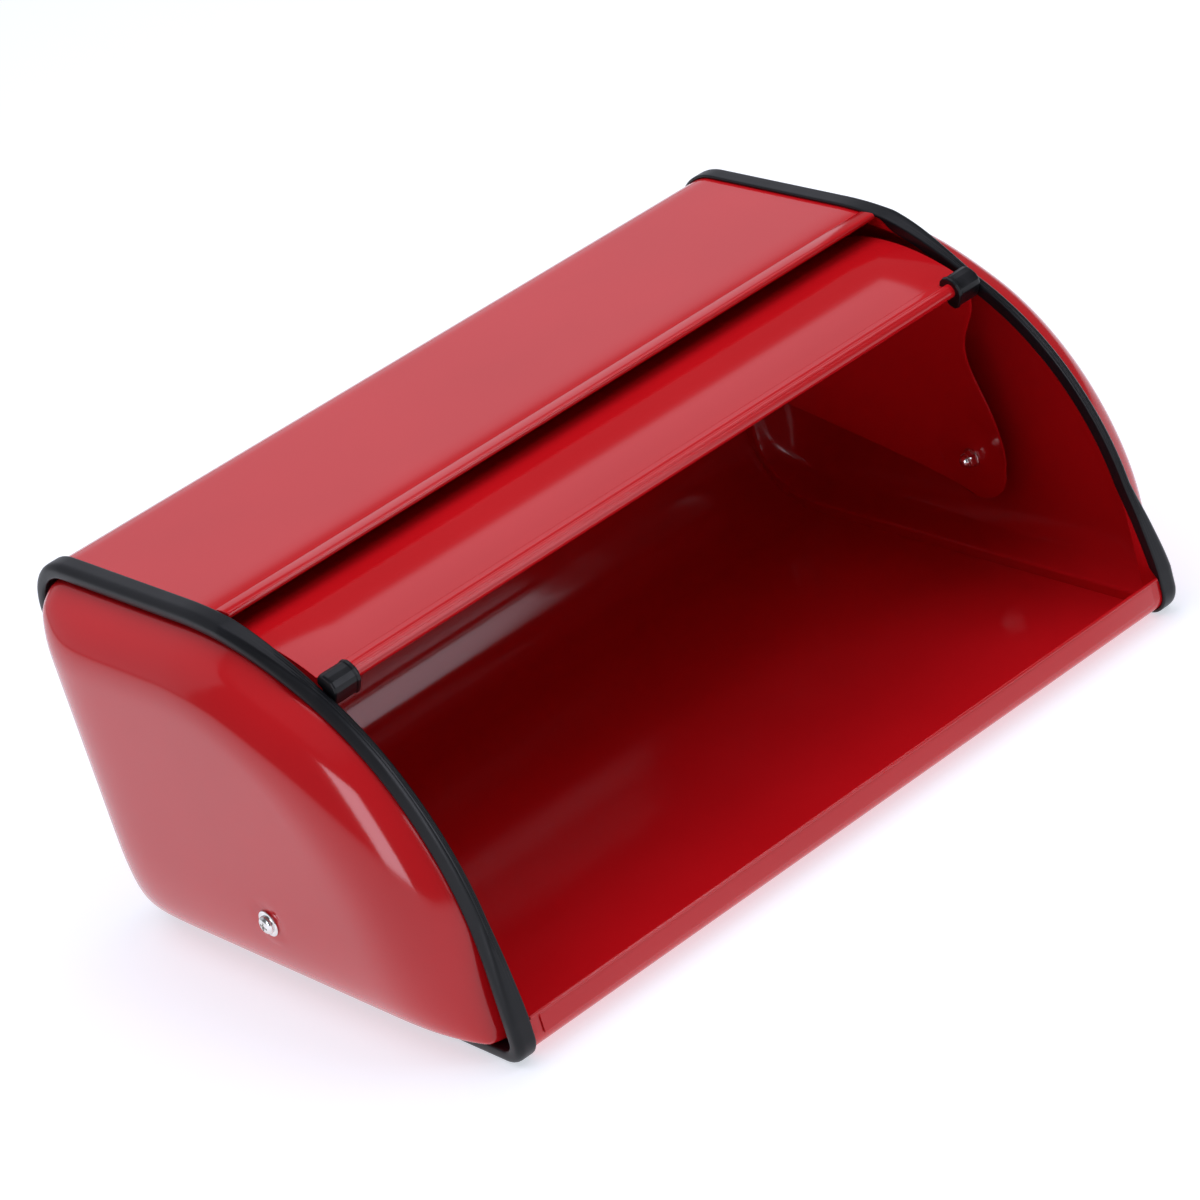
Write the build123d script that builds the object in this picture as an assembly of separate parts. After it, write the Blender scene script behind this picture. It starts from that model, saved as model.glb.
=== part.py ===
from build123d import *
import math
import os

# Roll top bread box, all lengths in millimetres.
# X runs along the width, -Y is the open front, +Z is up, and the origin is
# under the middle of the box on the plane it stands on.

# ---- overall shape of the end profile (the outer rim of the two end trims) ----
HEIGHT = 169.4            # rim height
PIVOT_Y = -7.55           # lid axis, from the middle of the depth
PIVOT_Z = 43.0            # lid axis, above the table
FRONT_R = 121.5           # front of the rim is an arc about the lid axis
SHOULDER_R = 200.0        # flatter arc from the front arc to the flat top
BACK_Y = 129.25           # rear of the rim
BACK_TOP_R = 28.0
BACK_BOTTOM_R = 37.0
TOE_R = 12.0              # front bottom corner

# ---- widths ----
TRIM_IN = 175.5           # inboard side of the edge trim
TRIM_OUT = 184.5          # outboard side of the edge trim
FLANGE_IN = 176.3         # inboard face of the end cap's flat flange
CAP_T = 0.8               # end cap sheet
FLANGE_OUT = FLANGE_IN + CAP_T
TRIM_WEB = 1.5            # trim thickness over the sheet edge
TRIM_LEG = 6.0            # depth of the outboard leg of the trim
TRIM_LIP = 5.0            # depth of the inboard leg, along the mouth only
MOUTH_DROP = 6.0          # the cap's edge and its trim sit this much lower along the mouth
DOME_TOP = 203.2          # flat pad on the crown of the end cap

# ---- sheet work ----
SHEET = 0.7               # body and lid sheet
BODY_INSET = 1.6          # body sheet's outer face inside the rim
HEM_Y = -5.75             # front edge of the top hem
HEM_W = 9.0               # width of the folded strip on the top hem
HEM_NOSE_R = 1.5
LIP_TOP = 19.6            # top of the front lip
LIP_STRIP = 9.5           # height of the folded strip on the front lip
LIP_END = 170.5           # the lip's folded strip stops short of the trims
HEM_END = 175.2

# ---- lid ----
LID_R = 115.2             # outer radius of the lid sheet about the lid axis
LID_HALF = 172.9          # half width of the lid sheet
OPEN_ANGLE = 26.0         # lid bar, degrees in front of straight up, as open
TAIL_ANGLE = -80.0        # rear edge of the lid sheet, as open
BAR_R = 3.0               # rolled front edge of the lid
BAR_C = 116.9             # radius of the roll's centre about the lid axis
FOLD_T = 0.7              # folded strip laid on the sheet behind the roll
FOLD_ANGLE = 22.1         # free edge of the folded strip
WING_T = 0.8
WING_BOSS_X = 192.3       # inboard face of the flat boss of the wing
WING_BOSS_R = 20.0
WING_TAB = 6.5            # width of the wing's welded tab under the sheet
BUMP_IN = 161.6
BUMP_OUT = 174.5

# ---- pivot hardware (M4 x 16 pan head screw) ----
SCREW_R = 2.0
HEAD_R = 4.0
HEAD_H = 2.4
WASHER_R = 5.75
WASHER_T = 1.0
BUSH_R = 4.5
IN_WASHER_R = 4.5
IN_WASHER_T = 0.8
NUT_AF = 7.0
BORE_R = 2.05             # wing bore, 0.05 clearance on the screw
SIDE_GAP = 0.35           # end float each side of the wing's boss

C1 = (PIVOT_Y, PIVOT_Z)


def vec(y, z, x=0.0):
    return Vector(x, y, z)


def outline(df, dt=None, db=None, dbt=None, r3=None, r4=None, r5=None, x=0.0):
    """Closed end profile, drawn inwards by its own distance at the front (df),
    top (dt), back (db) and bottom (dbt), as straight runs and tangent arcs."""
    dt = df if dt is None else dt
    db = df if db is None else db
    dbt = df if dbt is None else dbt
    r3 = BACK_TOP_R - max(dt, db) if r3 is None else r3
    r4 = BACK_BOTTOM_R - max(db, dbt) if r4 is None else r4
    r5 = TOE_R - max(df, dbt) if r5 is None else r5
    r1 = FRONT_R - df
    top = HEIGHT - dt
    r2 = SHOULDER_R - df
    c2z = top - r2
    c2y = PIVOT_Y + math.sqrt((r2 - r1) ** 2 - (PIVOT_Z - c2z) ** 2)
    n = (r2 - r1)
    uy, uz = (PIVOT_Y - c2y) / n, (PIVOT_Z - c2z) / n
    ey, ez = PIVOT_Y + r1 * uy, PIVOT_Z + r1 * uz
    front = PIVOT_Y - r1
    back = BACK_Y - db

    def mid(cy, cz, r, a, b):
        m = math.radians((a + b) / 2)
        return vec(cy + r * math.cos(m), cz + r * math.sin(m), x)

    ang_e = math.degrees(math.atan2(uz, uy))
    p = [
        vec(back - r4, dbt, x), vec(front + r5, dbt, x),
        vec(front, dbt + r5, x), vec(front, PIVOT_Z, x),
        vec(ey, ez, x), vec(c2y, top, x),
        vec(back - r3, top, x), vec(back, top - r3, x),
        vec(back, dbt + r4, x),
    ]
    edges = [
        Edge.make_line(p[0], p[1]),
        Edge.make_three_point_arc(p[1], mid(front + r5, dbt + r5, r5, 270, 180), p[2]),
        Edge.make_line(p[2], p[3]),
        Edge.make_three_point_arc(p[3], mid(PIVOT_Y, PIVOT_Z, r1, 180, ang_e), p[4]),
        Edge.make_three_point_arc(p[4], mid(c2y, c2z, r2, ang_e, 90), p[5]),
        Edge.make_line(p[5], p[6]),
        Edge.make_three_point_arc(p[6], mid(back - r3, top - r3, r3, 90, 0), p[7]),
        Edge.make_line(p[7], p[8]),
        Edge.make_three_point_arc(p[8], mid(back - r4, dbt + r4, r4, 0, -90), p[0]),
    ]
    return Wire(edges)


def prism(wire, x0, x1):
    face = Face(wire.moved(Location((x0, 0, 0))))
    return Solid.extrude(face, Vector(x1 - x0, 0, 0))


def poly(points, x0, x1):
    pts = [vec(y, z) for y, z in points]
    edges = [Edge.make_line(a, b) for a, b in zip(pts, pts[1:] + pts[:1])]
    return prism(Wire(edges), x0, x1)


def rod(r, x0, x1, y=PIVOT_Y, z=PIVOT_Z):
    plane = Plane(origin=(x0, y, z), x_dir=(0, 1, 0), z_dir=(1, 0, 0))
    return Solid.make_cylinder(r, x1 - x0, plane)


def polar(r, deg):
    """Point at radius r about the lid axis, deg measured from straight up
    towards the front."""
    a = math.radians(deg)
    return (PIVOT_Y - r * math.sin(a), PIVOT_Z + r * math.cos(a))


def one(shape):
    solids = shape.solids()
    if len(solids) == 1:
        return solids[0]
    return Compound(children=list(solids))


def top_z(y, inset):
    """Height of the shoulder arc and flat top, drawn in by inset."""
    c2z = HEIGHT - SHOULDER_R
    c2y = PIVOT_Y + math.sqrt((SHOULDER_R - FRONT_R) ** 2 - (PIVOT_Z - c2z) ** 2)
    if y >= c2y:
        return HEIGHT - inset
    return c2z + math.sqrt((SHOULDER_R - inset) ** 2 - (y - c2y) ** 2)


# ------------------------------------------------------------------ body shell
def cut_dir(y, z, reach=400.0):
    n = math.hypot(y - PIVOT_Y, z - PIVOT_Z)
    return (PIVOT_Y + (y - PIVOT_Y) / n * reach, PIVOT_Z + (z - PIVOT_Z) / n * reach)


hem_root = (HEM_Y + HEM_NOSE_R, top_z(HEM_Y + HEM_NOSE_R, BODY_INSET))
mouth = [C1, cut_dir(*hem_root), (-420, 420), (-420, LIP_TOP - 0.8), (-110, LIP_TOP - 0.8)]
shell = prism(outline(BODY_INSET), -FLANGE_IN, FLANGE_IN)
shell -= prism(outline(BODY_INSET + SHEET), -FLANGE_IN - 1, FLANGE_IN + 1)
shell -= poly(mouth, -FLANGE_IN - 1, FLANGE_IN + 1)

# top hem: the sheet is rolled over at its front edge and laid back on top
strip_in, strip_out = BODY_INSET - 0.12, BODY_INSET - 0.12 - SHEET
hem = prism(outline(strip_out), -HEM_END, HEM_END) - prism(outline(strip_in), -HEM_END - 1, HEM_END + 1)
hem_back = (HEM_Y + HEM_W, top_z(HEM_Y + HEM_W, BODY_INSET))
hem = hem & poly([C1, cut_dir(*hem_root), cut_dir(*hem_back)], -HEM_END - 1, HEM_END + 1)
nose_c = (HEM_Y + HEM_NOSE_R, top_z(HEM_Y + HEM_NOSE_R, strip_out) - HEM_NOSE_R + 0.05)
shell = shell + hem + rod(HEM_NOSE_R, -HEM_END, HEM_END, *nose_c)

# front lip: the edge is rolled forwards and laid down on the outer face
lip_y = PIVOT_Y - FRONT_R + BODY_INSET
lip_top = LIP_TOP - 0.85
strip = poly([(lip_y - 0.12 - SHEET, lip_top - LIP_STRIP), (lip_y - 0.12, lip_top - LIP_STRIP),
              (lip_y - 0.12, lip_top), (lip_y - 0.12 - SHEET, lip_top)], -LIP_END, LIP_END)
# a thin web of paint closes the fold
fill = poly([(lip_y - 0.3, lip_top - 2.0), (lip_y + 0.3, lip_top - 2.0),
             (lip_y + 0.3, lip_top), (lip_y - 0.3, lip_top)], -LIP_END, LIP_END)
roll = rod(0.86, -HEM_END + 0.2, HEM_END - 0.2, lip_y - 0.06, lip_top)
shell = shell + strip + fill + roll
body_shell = one(shell)


# ------------------------------------------------------------------ end caps
# sections of the pressed dome from the flange outwards:
# x, then how far it is drawn in at the front, top, back and bottom, and corner radii
SECTIONS = [
    (FLANGE_OUT, 12.4, 6.9, 6.9, 6.9, 21.1, 30.1, 6.0),
    (183.5, 13.9, 8.6, 9.0, 7.1, 21.5, 27.0, 7.5),
    (186.5, 15.1, 10.2, 11.1, 7.6, 21.3, 25.5, 9.2),
    (190.0, 17.3, 12.0, 13.6, 8.6, 20.8, 24.5, 11.2),
    (194.0, 22.0, 14.6, 17.8, 11.0, 20.2, 24.0, 13.0),
    (197.5, 28.0, 18.0, 23.2, 15.4, 20.0, 23.0, 13.6),
    (200.5, 35.4, 22.4, 30.6, 22.2, 20.0, 21.0, 11.0),
    (DOME_TOP, 47.0, 29.5, 43.0, 32.2, 18.0, 15.0, 5.0),
]


def dome(shift, grow):
    """Straight neck off the flange, then the smooth dome, as one solid block."""
    wires = []
    for x, df, dt, db, dbt, r3, r4, r5 in SECTIONS:
        wires.append(outline(df + grow, dt + grow, db + grow, dbt + grow,
                             r3, r4, max(r5 - grow, 1.0), x - shift))
    return Solid.make_loft(wires[:2], ruled=True) + Solid.make_loft(wires[1:], ruled=False)


# ---- stations along the mouth, from the hem down to the front lip ----
C2 = (PIVOT_Y + math.sqrt((SHOULDER_R - FRONT_R) ** 2 - (PIVOT_Z - HEIGHT + SHOULDER_R) ** 2), HEIGHT - SHOULDER_R)
HEM_PSI = math.degrees(math.asin((C2[0] - (HEM_Y - 2.5)) / SHOULDER_R))
JOIN_PSI = math.degrees(math.atan2(C2[0] - PIVOT_Y, PIVOT_Z - C2[1]))
FULL_PHI = 26.0           # here the trim has reached its lowered, narrow form
LOW_Z = 20.8              # and below this it has its plain form again


def station(kind, value, d):
    if kind == "shoulder":
        a = math.radians(value)
        return (C2[0] - (SHOULDER_R - d) * math.sin(a), C2[1] + (SHOULDER_R - d) * math.cos(a))
    if kind == "front":
        return polar(FRONT_R - d, value)
    return (PIVOT_Y - FRONT_R + d, value)


def ease(t):
    t = min(1.0, max(0.0, t))
    return 0.6 * t + 0.4 * t * t * (3 - 2 * t)


def narrow(kind, value):
    run = (JOIN_PSI - HEM_PSI) * SHOULDER_R
    full = run + (FULL_PHI - JOIN_PSI) * FRONT_R
    if kind == "shoulder":
        return ease((value - HEM_PSI) * SHOULDER_R / full)
    if kind == "front":
        top = ease((run + (value - JOIN_PSI) * FRONT_R) / full)
        z = polar(FRONT_R, value)[1]
    else:
        top, z = 1.0, value
    return top * ease((z - LOW_Z) / 42.0)


STATIONS = [("shoulder", HEM_PSI + (JOIN_PSI - HEM_PSI) * k / 3) for k in range(4)]
STATIONS += [("front", v) for v in (26.0, 34.0, 42.0, 50.0, 58.0, 66.0, 74.0, 80.0, 85.0, 90.0)]
STATIONS += [("low", v) for v in (36.0, 28.0, LOW_Z)]


def mouth_wedge(x0, x1):
    a = math.radians(HEM_PSI)
    near = (C2[0] - 150 * math.sin(a), C2[1] + 150 * math.cos(a))
    far = (C2[0] - 450 * math.sin(a), C2[1] + 450 * math.cos(a))
    return poly([near, far, (-420, 420), (-420, LOW_Z), (-90, LOW_Z), (-60, 60)], x0, x1)


def right_cap():
    outer = dome(0.0, 0.0)
    inner = dome(CAP_T, CAP_T * 0.7)
    # along the mouth the flange's edge is cut lower
    edge = [Vector(0, *station(k, v, TRIM_WEB + 0.35 + MOUTH_DROP * narrow(k, v))) for k, v in STATIONS]
    far = [Vector(0, *station("shoulder", HEM_PSI, -60)), Vector(0, -420, 420), Vector(0, *station("low", LOW_Z, -60))]
    cut = Wire([Edge.make_spline(edge), Edge.make_line(edge[-1], far[2]), Edge.make_line(far[2], far[1]),
                Edge.make_line(far[1], far[0]), Edge.make_line(far[0], edge[0])])
    cap = prism(outline(BODY_INSET), FLANGE_IN, FLANGE_OUT) - prism(cut, FLANGE_IN - 1, FLANGE_OUT + 1) + outer
    cap -= inner
    cap -= rod(SCREW_R + 0.15, 190, 210)
    return one(cap)


end_cap_r = right_cap()


# ------------------------------------------------------------------ edge trims
# trim section as (x, depth below the rim): plain form, and narrow form along the mouth
SEC_WIDE = [(175.5, TRIM_LIP), (175.5, 1.0), (176.5, 0.0), (181.9, 0.0), (183.7, 0.8), (184.5, 2.6), (184.5, 5.3),
            (183.9, TRIM_LEG), (FLANGE_OUT + 0.1, TRIM_LEG), (FLANGE_OUT + 0.1, TRIM_WEB), (FLANGE_IN - 0.1, TRIM_WEB),
            (FLANGE_IN - 0.1, TRIM_LIP)]
SEC_NARROW = [(175.0, 12.4), (175.0, 7.0), (175.9, 6.0), (177.6, 6.0), (178.9, 6.9), (180.0, 9.0), (181.0, 11.3),
              (180.6, 11.9), (FLANGE_OUT + 0.1, 11.9), (FLANGE_OUT + 0.1, 7.5), (FLANGE_IN - 0.1, 7.5),
              (FLANGE_IN - 0.1, 12.4)]


def trim_section(kind, value):
    m = narrow(kind, value)
    pts = []
    for (xa, da), (xb, db) in zip(SEC_WIDE, SEC_NARROW):
        x, d = xa + (xb - xa) * m, da + (db - da) * m
        pts.append(Vector(x, *station(kind, value, d)))
    return Wire([Edge.make_line(a, b) for a, b in zip(pts, pts[1:] + pts[:1])])


def right_trim():
    t = prism(outline(0.0), TRIM_IN, TRIM_OUT)
    out_edges = [e for e in t.edges() if all(abs(v.X - TRIM_OUT) < 1e-4 for v in e.vertices())]
    t = t.fillet(2.6, out_edges)
    in_edges = [e for e in t.edges() if all(abs(v.X - TRIM_IN) < 1e-4 for v in e.vertices())]
    t = t.fillet(1.0, in_edges)
    t = t - prism(outline(TRIM_LEG), FLANGE_OUT + 0.1, TRIM_OUT + 1)
    t = t - prism(outline(TRIM_WEB), TRIM_IN - 1, FLANGE_OUT + 0.2)
    t = t - mouth_wedge(TRIM_IN - 2, TRIM_OUT + 2)
    # along the mouth the trim drops and narrows over the cap's lowered edge
    front = Solid.make_loft([trim_section(k, v) for k, v in STATIONS], ruled=True)
    return one(t + front)


edge_trim_r = right_trim()


# ------------------------------------------------------------------ lid sheet
def sector_poly(a0, a1, x0, x1, reach=260.0):
    """Wedge about the lid axis between two angles (towards the front)."""
    steps = max(2, int(abs(a1 - a0) / 30) + 1)
    pts = [C1] + [polar(reach, a0 + (a1 - a0) * k / steps) for k in range(steps + 1)]
    return poly(pts, x0, x1)


bar_c = polar(BAR_C, OPEN_ANGLE)
# the sheet runs into the roll from above and wraps round it
sheet_end = OPEN_ANGLE - math.degrees(1.2 / LID_R)
lid = rod(LID_R, -LID_HALF, LID_HALF) - rod(LID_R - SHEET, -LID_HALF - 1, LID_HALF + 1)
lid = lid & sector_poly(TAIL_ANGLE, sheet_end, -LID_HALF - 1, LID_HALF + 1)
roll_tube = rod(BAR_R, -LID_HALF, LID_HALF, *bar_c) - rod(BAR_R - SHEET, -LID_HALF - 1, LID_HALF + 1, *bar_c)
lid = (lid - rod(BAR_R - SHEET, -LID_HALF - 1, LID_HALF + 1, *bar_c)) + roll_tube
# strip folded back on the outer face, from the roll to its free edge
strip = rod(LID_R + FOLD_T, -LID_HALF, LID_HALF) - rod(LID_R - 0.1, -LID_HALF - 1, LID_HALF + 1)
strip = strip & sector_poly(FOLD_ANGLE, sheet_end, -LID_HALF - 1, LID_HALF + 1)
lid = lid + (strip - rod(BAR_R - SHEET, -LID_HALF - 1, LID_HALF + 1, *bar_c))
# rear edge folded back inwards for stiffness
tail = rod(LID_R - SHEET - 0.12, -LID_HALF + 8, LID_HALF - 8) - rod(LID_R - 2 * SHEET - 0.12, -LID_HALF, LID_HALF)
tail = tail & sector_poly(TAIL_ANGLE, TAIL_ANGLE + 3.5, -LID_HALF, LID_HALF)
fold = rod(LID_R, -LID_HALF + 8, LID_HALF - 8) - rod(LID_R - 2 * SHEET - 0.12, -LID_HALF, LID_HALF)
fold = fold & sector_poly(TAIL_ANGLE, TAIL_ANGLE + 0.35, -LID_HALF, LID_HALF)
lid = lid + tail + fold
lid_panel = one(lid)


# ------------------------------------------------------------------ lid wings
# front edge of the wing, a shallow S from the bar down to the round boss
S_EDGE = [(-66.8, 143.5), (-53.6, 130.0), (-44.3, 121.0), (-37.2, 112.7), (-33.3, 105.6), (-31.0, 98.5),
          (-30.2, 92.3), (-30.3, 85.0), (-31.2, 77.5), (-31.5, 71.2), (-30.8, 62.0), (-29.6, 53.8)]


def right_wing():
    r_out = LID_R - SHEET - 0.02
    r_in = WING_BOSS_R - 2.0
    plane = Plane(origin=(0, PIVOT_Y, PIVOT_Z), x_dir=(0, 0, 1), z_dir=(1, 0, 0))
    # section in (radius, x): tab under the sheet, cone, flat boss
    xa, xb = LID_HALF - WING_T, WING_BOSS_X
    pts = [
        (0.0, xb), (r_in, xb), (r_out - WING_T, xa), (r_out - WING_T, xa - WING_TAB),
        (r_out, xa - WING_TAB), (r_out, xa + WING_T * 0.95), (r_in + 0.3, xb + WING_T), (0.0, xb + WING_T),
    ]
    v = [Vector(x, PIVOT_Y, PIVOT_Z + r) for r, x in pts]
    wire = Wire([Edge.make_line(a, b) for a, b in zip(v, v[1:] + v[:1])])
    axis = Axis((0, PIVOT_Y, PIVOT_Z), (1, 0, 0))
    solid = Solid.revolve(Face(wire), 360, axis)
    # outline of the plate seen from the end
    tail_dir = polar(200, TAIL_ANGLE + 1.0)
    a_tail = TAIL_ANGLE + 1.0
    b_dir = polar(WING_BOSS_R, a_tail - 90.0 - 0.0)
    head = polar(200, OPEN_ANGLE - 3.0)
    s0 = polar(119.5, OPEN_ANGLE - 3.0)
    path = [Vector(0, *s0), Vector(0, *S_EDGE[0])]
    boss_start = polar(WING_BOSS_R, 70)
    spl = Edge.make_spline([Vector(0, *q) for q in [s0] + S_EDGE[1:] + [polar(WING_BOSS_R, 97)]],
                           tangents=[Vector(0, 1.0, -0.95), Vector(0, 0.12, -1.0)])
    arc = Edge.make_three_point_arc(Vector(0, *polar(WING_BOSS_R, 97)), Vector(0, *polar(WING_BOSS_R, 140)),
                                    Vector(0, *polar(WING_BOSS_R, 190)))
    e1 = Edge.make_line(Vector(0, *polar(WING_BOSS_R, 190)), Vector(0, *polar(119.5, a_tail)))
    e2 = Edge.make_line(Vector(0, *polar(119.5, a_tail)), Vector(0, *polar(200, a_tail)))
    e3 = Edge.make_line(Vector(0, *polar(200, a_tail)), Vector(0, *polar(260, -30)))
    e4 = Edge.make_line(Vector(0, *polar(260, -30)), Vector(0, *polar(200, OPEN_ANGLE - 3.0)))
    e5 = Edge.make_line(Vector(0, *polar(200, OPEN_ANGLE - 3.0)), Vector(0, *s0))
    region = prism(Wire([spl, arc, e1, e2, e3, e4, e5]), 160, 200)
    solid = solid & region
    solid = solid - rod(BORE_R, 180, 200)
    return one(solid)


lid_wing_r = right_wing()


# ------------------------------------------------------------------ lid bumpers
def right_bumper():
    """Moulded cap that hooks over the end of the lid's rolled edge."""
    a = math.radians(OPEN_ANGLE)
    out = (-math.sin(a), math.cos(a))      # away from the lid axis
    fwd = (-math.cos(a), -math.sin(a))     # towards the front edge
    cy, cz = bar_c

    def loc(u, w):
        return (cy + fwd[0] * u + out[0] * w, cz + fwd[1] * u + out[1] * w)

    # eight-sided hood with a leg on the front side
    ring = [(-6.4, 1.2), (-4.6, 3.9), (-1.8, 5.0), (1.8, 5.0), (4.4, 3.7), (5.6, 1.2),
            (5.6, -3.4), (4.2, -7.6), (-0.4, -7.6), (-1.2, -4.4), (-6.4, -2.9)]
    block = poly([loc(u, w) for u, w in ring], BUMP_IN, BUMP_OUT)
    long_edges = [e for e in block.edges() if abs(e.length - (BUMP_OUT - BUMP_IN)) < 1e-3]
    block = block.fillet(1.1, long_edges)
    block = block - rod(BAR_R + 0.02, BUMP_IN - 1, LID_HALF + 0.02, *bar_c)
    sheet_slot = rod(LID_R + 0.02, BUMP_IN - 1, LID_HALF + 0.02) - rod(LID_R - SHEET - 0.02, BUMP_IN - 2, LID_HALF + 1)
    block = block - (sheet_slot & sector_poly(OPEN_ANGLE - 20, OPEN_ANGLE, BUMP_IN - 2, LID_HALF + 1))
    fold_slot = rod(LID_R + FOLD_T + 0.02, BUMP_IN - 1, LID_HALF + 0.02) - rod(LID_R - 0.1, BUMP_IN - 2, LID_HALF + 1)
    block = block - (fold_slot & sector_poly(FOLD_ANGLE - 0.05, OPEN_ANGLE, BUMP_IN - 2, LID_HALF + 1))
    block = block - lid_wing_r
    solids = sorted(block.solids(), key=lambda s: -s.volume)
    return solids[0]


lid_bumper_r = right_bumper()


# ------------------------------------------------------------------ pivot hardware
def right_screw():
    seat = DOME_TOP + WASHER_T
    head = rod(HEAD_R, seat, seat + HEAD_H)
    rim = [e for e in head.edges() if all(abs(v.X - seat - HEAD_H) < 1e-4 for v in e.vertices())]
    head = head.fillet(1.3, rim)
    cross = poly([(PIVOT_Y - 2.1, PIVOT_Z - 0.45), (PIVOT_Y + 2.1, PIVOT_Z - 0.45),
                  (PIVOT_Y + 2.1, PIVOT_Z + 0.45), (PIVOT_Y - 2.1, PIVOT_Z + 0.45)], seat + 0.9, seat + 4)
    cross += poly([(PIVOT_Y - 0.45, PIVOT_Z - 2.1), (PIVOT_Y + 0.45, PIVOT_Z - 2.1),
                   (PIVOT_Y + 0.45, PIVOT_Z + 2.1), (PIVOT_Y - 0.45, PIVOT_Z + 2.1)], seat + 0.9, seat + 4)
    return one(head + rod(SCREW_R, seat - 16.0, seat) - cross)


def tube(r_out, r_in, x0, x1):
    return one(rod(r_out, x0, x1) - rod(r_in, x0 - 1, x1 + 1))


wing_out = WING_BOSS_X + WING_T
pivot_screw_r = right_screw()
outer_washer_r = tube(WASHER_R, SCREW_R + 0.15, DOME_TOP, DOME_TOP + WASHER_T)
spacer_bush_r = tube(BUSH_R, SCREW_R + 0.05, wing_out + SIDE_GAP, DOME_TOP - CAP_T)
in_face = WING_BOSS_X - SIDE_GAP
inner_washer_r = tube(IN_WASHER_R, SCREW_R + 0.15, in_face - IN_WASHER_T, in_face)


def right_nut():
    x1 = in_face - IN_WASHER_T
    hexa = [(PIVOT_Y + NUT_AF / math.sqrt(3) * math.cos(math.radians(60 * k + 30)),
             PIVOT_Z + NUT_AF / math.sqrt(3) * math.sin(math.radians(60 * k + 30))) for k in range(6)]
    body = poly(hexa, x1 - 3.0, x1)
    ball = Solid.make_sphere(3.1, Plane(origin=(x1 - 2.9, PIVOT_Y, PIVOT_Z)))
    cap = ball & poly([(PIVOT_Y - 9, PIVOT_Z - 9), (PIVOT_Y + 9, PIVOT_Z - 9),
                       (PIVOT_Y + 9, PIVOT_Z + 9), (PIVOT_Y - 9, PIVOT_Z + 9)], x1 - 8, x1 - 2.8)
    return one(body + cap - rod(SCREW_R, DOME_TOP + WASHER_T - 16.2, x1 + 1))


cap_nut_r = right_nut()

# ------------------------------------------------------------------ write the parts
parts = {"body_shell": body_shell, "lid_panel": lid_panel}
pairs = {
    "end_cap": end_cap_r, "edge_trim": edge_trim_r,
    "pivot_screw": pivot_screw_r, "outer_washer": outer_washer_r, "spacer_bush": spacer_bush_r,
    "inner_washer": inner_washer_r, "cap_nut": cap_nut_r,
}
for name, solid in pairs.items():
    parts["right_" + name] = solid
    parts["left_" + name] = mirror(solid, about=Plane.YZ)
for name, solid in {"wing": lid_wing_r, "bumper": lid_bumper_r}.items():
    parts["lid_right_" + name] = solid
    parts["lid_left_" + name] = mirror(solid, about=Plane.YZ)

os.makedirs("parts", exist_ok=True)
for name, solid in parts.items():
    box = solid.bounding_box()
    print(name, len(solid.solids()), round(solid.volume, 1), "x %.2f %.2f y %.2f %.2f z %.2f %.2f" % (
        box.min.X, box.max.X, box.min.Y, box.max.Y, box.min.Z, box.max.Z))
    export_step(solid, f"parts/{name}.step")
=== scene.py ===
import math

import bmesh
import bpy
import numpy as np
from mathutils import Matrix, Vector


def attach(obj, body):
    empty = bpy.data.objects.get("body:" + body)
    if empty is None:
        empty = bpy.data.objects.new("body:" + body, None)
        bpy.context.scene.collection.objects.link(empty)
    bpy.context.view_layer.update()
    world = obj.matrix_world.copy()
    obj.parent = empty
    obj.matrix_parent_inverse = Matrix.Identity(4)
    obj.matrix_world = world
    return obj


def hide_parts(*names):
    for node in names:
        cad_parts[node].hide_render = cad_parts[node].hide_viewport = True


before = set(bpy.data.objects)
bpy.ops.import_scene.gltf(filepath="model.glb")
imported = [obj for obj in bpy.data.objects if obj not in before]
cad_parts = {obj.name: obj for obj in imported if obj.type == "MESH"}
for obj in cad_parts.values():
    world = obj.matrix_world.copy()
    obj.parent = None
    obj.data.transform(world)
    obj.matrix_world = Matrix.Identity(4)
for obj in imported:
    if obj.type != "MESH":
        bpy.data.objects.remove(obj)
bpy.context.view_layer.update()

MM = 0.001

# ------------------------------------------------------------ driving sizes (mm)
HEIGHT = 169.4
PY, PZ = -7.55, 43.0          # lid axis
FRONT_R = 121.5
SHOULDER_R = 200.0
BACK_Y = 129.25
BACK_TOP_R = 28.0
BACK_BOTTOM_R = 37.0
TOE_R = 12.0
FRONT_Y = PY - FRONT_R
C2Z = HEIGHT - SHOULDER_R
C2Y = PY + math.sqrt((SHOULDER_R - FRONT_R) ** 2 - (PZ - C2Z) ** 2)

TRIM_IN, TRIM_OUT = 175.5, 184.5
FLANGE_IN, FLANGE_OUT = 176.3, 177.1
MOUTH_DROP = 6.0
DOME_TOP = 203.2
BODY_INSET, SHEET = 1.6, 0.7
HEM_Y, HEM_W, HEM_END = -5.75, 9.0, 175.2
LIP_TOP, LIP_END = 19.6, 170.5
LID_R, LID_HALF = 115.2, 172.9
OPEN_ANGLE, TAIL_ANGLE = 26.0, -80.0
BAR_R, BAR_C = 3.0, 116.9
BOSS_X, BOSS_R = 192.3, 20.0
WING_R = LID_R - 0.75


# ------------------------------------------------------------ materials
def nodes_of(name):
    m = bpy.data.materials.new(name)
    m.use_nodes = True
    nt = m.node_tree
    bsdf = nt.nodes["Principled BSDF"]
    return m, nt, bsdf


def coords(nt):
    return nt.nodes.new("ShaderNodeTexCoord").outputs["Object"]


def noise(nt, vec, scale, detail=3.0, rough=0.5):
    n = nt.nodes.new("ShaderNodeTexNoise")
    n.inputs["Scale"].default_value = scale
    n.inputs["Detail"].default_value = detail
    n.inputs["Roughness"].default_value = rough
    nt.links.new(vec, n.inputs["Vector"])
    return n.outputs["Fac"]


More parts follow.
